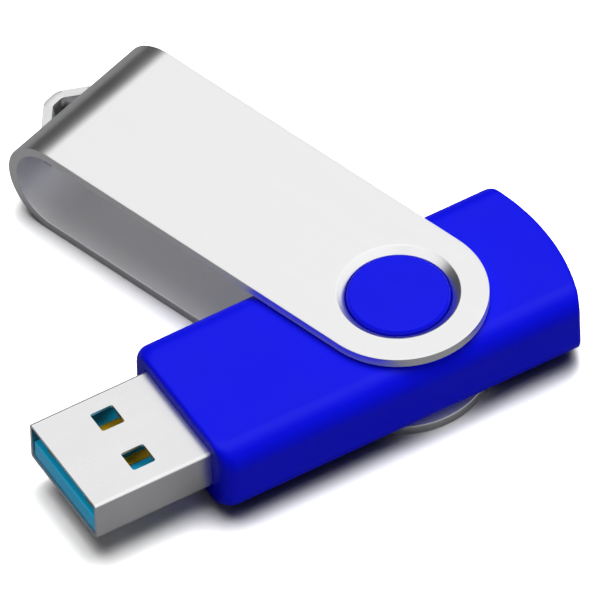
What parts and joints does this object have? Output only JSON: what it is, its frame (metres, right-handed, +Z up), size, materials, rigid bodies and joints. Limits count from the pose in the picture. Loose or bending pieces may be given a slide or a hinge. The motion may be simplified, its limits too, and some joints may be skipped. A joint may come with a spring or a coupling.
{
  "type": "usb flash drive",
  "caption": "USB flash drive in a pillow-sided plastic case with a standard-A plug, inside a U-shaped metal cover that swivels round and carries a small key loop.",
  "frame": {"origin": "on the surface that the lower arm of the clip rests on, under the middle of the whole object's box with the clip swung out as it is stored here", "axes": "-Y out of the plug, +Z up from the resting surface, +X to the right of a viewer who looks along +Y into the plug"},
  "size_m": [0.0502, 0.0518, 0.0104],
  "materials": {
    "clip_metal": "satin, bead-blasted and clear anodised",
    "loop_metal": "bright nickel plate",
    "case_plastic": "satin moulded, strong blue",
    "plug_metal": "nickel-plated stamping, satin",
    "tongue_plastic": "moulded, turquoise blue",
    "carrier_plastic": "moulded, black",
    "contact_gold": "gold-plated",
    "board_laminate": "green solder mask",
    "package_epoxy": "moulded epoxy, fine matt",
    "crystal_can": "drawn metal lid",
    "tantalum_epoxy": "moulded epoxy, yellow",
    "capacitor_ceramic": "bare ceramic, tan",
    "resistor_ceramic": "glazed, near black"
  },
  "bodies": {
    "drive": {"case_body": "case_plastic", "bottom_cover": "case_plastic", "plug_shell": "plug_metal", "plug_tongue": "tongue_plastic", "contact_carrier": "carrier_plastic", "ground_contact": "contact_gold", "data_plus_contact": "contact_gold", "data_minus_contact": "contact_gold", "power_contact": "contact_gold", "superspeed_contact_1": "contact_gold", "superspeed_contact_2": "contact_gold", "superspeed_contact_3": "contact_gold", "superspeed_contact_4": "contact_gold", "superspeed_contact_5": "contact_gold", "circuit_board": "board_laminate", "controller_chip": "package_epoxy", "flash_memory_chip": "package_epoxy", "crystal": "crystal_can", "voltage_regulator": "package_epoxy", "bulk_capacitor": "tantalum_epoxy", "supply_ferrite": "resistor_ceramic", "esd_protector": "package_epoxy", "coupling_capacitor_1": "capacitor_ceramic", "coupling_capacitor_2": "capacitor_ceramic", "decoupling_capacitor_1": "capacitor_ceramic", "decoupling_capacitor_2": "capacitor_ceramic", "decoupling_capacitor_3": "capacitor_ceramic", "decoupling_capacitor_4": "capacitor_ceramic", "decoupling_capacitor_5": "capacitor_ceramic", "decoupling_capacitor_6": "capacitor_ceramic", "resistor_1": "resistor_ceramic", "resistor_2": "resistor_ceramic", "resistor_3": "resistor_ceramic", "resistor_4": "resistor_ceramic"},
    "clip": {"swivel_clip": "clip_metal", "key_loop": "loop_metal"}
  },
  "joints": [
    {"name": "swivel", "type": "hinge", "parent": "drive", "child": "clip", "pos_m": [0.01637, 0.00995, 0.0052], "axis": [0, 0, 1], "continuous": true}
  ]
}
